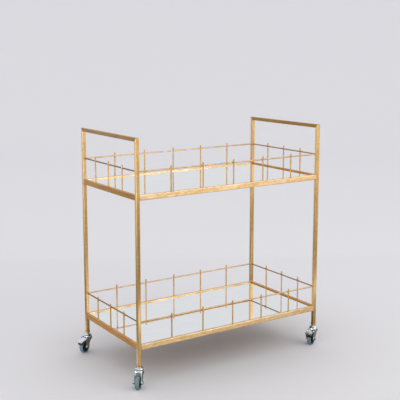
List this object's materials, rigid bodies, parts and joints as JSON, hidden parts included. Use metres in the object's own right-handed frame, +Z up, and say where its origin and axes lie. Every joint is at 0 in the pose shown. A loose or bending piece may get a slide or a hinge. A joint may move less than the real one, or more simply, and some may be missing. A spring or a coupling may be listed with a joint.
{
  "type": "bar cart on wheels",
  "caption": "Gold square-tube bar cart with mirrored upper and lower trays, picket galleries, end handles and swivel casters, some with brake pedals.",
  "frame": {"origin": "on the floor under the middle of the four posts", "axes": "+X to the right along the long side, +Y from the front to the back, +Z up"},
  "size_m": [0.855, 0.4506, 0.838],
  "materials": {
    "gold_leaf": "mottled satin gold leaf",
    "mirror_glass": "polished",
    "backing_board": "matt raw fibreboard",
    "bright_zinc": "bright zinc plate",
    "steel_fasteners": "bright",
    "black_wheel": "moulded",
    "grey_tyre": "matt",
    "brake_rubber": "matt"
  },
  "bodies": {
    "frame": {"caster_balls": "steel_fasteners", "caster_races": "bright_zinc", "caster_stems": "steel_fasteners", "handle_bar_left": "gold_leaf", "handle_bar_right": "gold_leaf", "leg_inserts": "gold_leaf", "lower_backing_board": "backing_board", "lower_gallery_pickets": "gold_leaf", "lower_gallery_rods": "gold_leaf", "lower_ledges": "gold_leaf", "lower_mirror": "mirror_glass", "lower_rail_back": "gold_leaf", "lower_rail_front": "gold_leaf", "lower_rail_left": "gold_leaf", "lower_rail_right": "gold_leaf", "post_back_left": "gold_leaf", "post_back_right": "gold_leaf", "post_front_left": "gold_leaf", "post_front_right": "gold_leaf", "upper_backing_board": "backing_board", "upper_gallery_pickets": "gold_leaf", "upper_gallery_rods": "gold_leaf", "upper_ledges": "gold_leaf", "upper_mirror": "mirror_glass", "upper_rail_back": "gold_leaf", "upper_rail_front": "gold_leaf", "upper_rail_left": "gold_leaf", "upper_rail_right": "gold_leaf"},
    "caster_front_left": {"axle_bolt_front_left": "steel_fasteners", "axle_nut_front_left": "steel_fasteners", "axle_sleeve_front_left": "steel_fasteners", "fork_front_left": "bright_zinc"},
    "wheel_front_left": {"tyre_front_left": "grey_tyre", "wheel_core_front_left": "black_wheel"},
    "caster_front_right": {"axle_bolt_front_right": "steel_fasteners", "axle_nut_front_right": "steel_fasteners", "axle_sleeve_front_right": "steel_fasteners", "fork_front_right": "bright_zinc", "pedal_pin_front_right": "steel_fasteners"},
    "wheel_front_right": {"tyre_front_right": "grey_tyre", "wheel_core_front_right": "black_wheel"},
    "caster_back_left": {"axle_bolt_back_left": "steel_fasteners", "axle_nut_back_left": "steel_fasteners", "axle_sleeve_back_left": "steel_fasteners", "fork_back_left": "bright_zinc", "pedal_pin_back_left": "steel_fasteners"},
    "wheel_back_left": {"tyre_back_left": "grey_tyre", "wheel_core_back_left": "black_wheel"},
    "caster_back_right": {"axle_bolt_back_right": "steel_fasteners", "axle_nut_back_right": "steel_fasteners", "axle_sleeve_back_right": "steel_fasteners", "fork_back_right": "bright_zinc"},
    "wheel_back_right": {"tyre_back_right": "grey_tyre", "wheel_core_back_right": "black_wheel"},
    "pedal_back_left": {"brake_pedal_back_left": "bright_zinc", "brake_shoe_back_left": "brake_rubber"},
    "pedal_front_right": {"brake_pedal_front_right": "bright_zinc", "brake_shoe_front_right": "brake_rubber"}
  },
  "joints": [
    {"name": "swivel_front_left", "type": "hinge", "parent": "frame", "child": "caster_front_left", "pos_m": [-0.38315, -0.19365, 0.0643], "axis": [0, 0, 1], "continuous": true},
    {"name": "roll_front_left", "type": "hinge", "parent": "caster_front_left", "child": "wheel_front_left", "pos_m": [-0.39653, -0.20851, 0.0225], "axis": [0.7431, -0.6691, 0], "continuous": true},
    {"name": "swivel_front_right", "type": "hinge", "parent": "frame", "child": "caster_front_right", "pos_m": [0.38315, -0.19365, 0.0643], "axis": [0, 0, 1], "continuous": true},
    {"name": "roll_front_right", "type": "hinge", "parent": "caster_front_right", "child": "wheel_front_right", "pos_m": [0.36502, -0.2021, 0.0225], "axis": [0.4226, -0.9063, 0], "continuous": true},
    {"name": "brake_front_right", "type": "hinge", "parent": "caster_front_right", "child": "pedal_front_right", "pos_m": [0.36412, -0.20253, 0.052], "axis": [0.4226, -0.9063, 0], "range_deg": [0, 5.5]},
    {"name": "swivel_back_left", "type": "hinge", "parent": "frame", "child": "caster_back_left", "pos_m": [-0.38315, 0.19365, 0.0643], "axis": [0, 0, 1], "continuous": true},
    {"name": "roll_back_left", "type": "hinge", "parent": "caster_back_left", "child": "wheel_back_left", "pos_m": [-0.40128, 0.1852, 0.0225], "axis": [0.4226, -0.9063, 0], "continuous": true},
    {"name": "brake_back_left", "type": "hinge", "parent": "caster_back_left", "child": "pedal_back_left", "pos_m": [-0.40218, 0.18477, 0.052], "axis": [0.4226, -0.9063, 0], "range_deg": [0, 5.5]},
    {"name": "swivel_back_right", "type": "hinge", "parent": "frame", "child": "caster_back_right", "pos_m": [0.38315, 0.19365, 0.0643], "axis": [0, 0, 1], "continuous": true},
    {"name": "roll_back_right", "type": "hinge", "parent": "caster_back_right", "child": "wheel_back_right", "pos_m": [0.40047, 0.20365, 0.0225], "axis": [-0.5, 0.866, 0], "continuous": true}
  ]
}
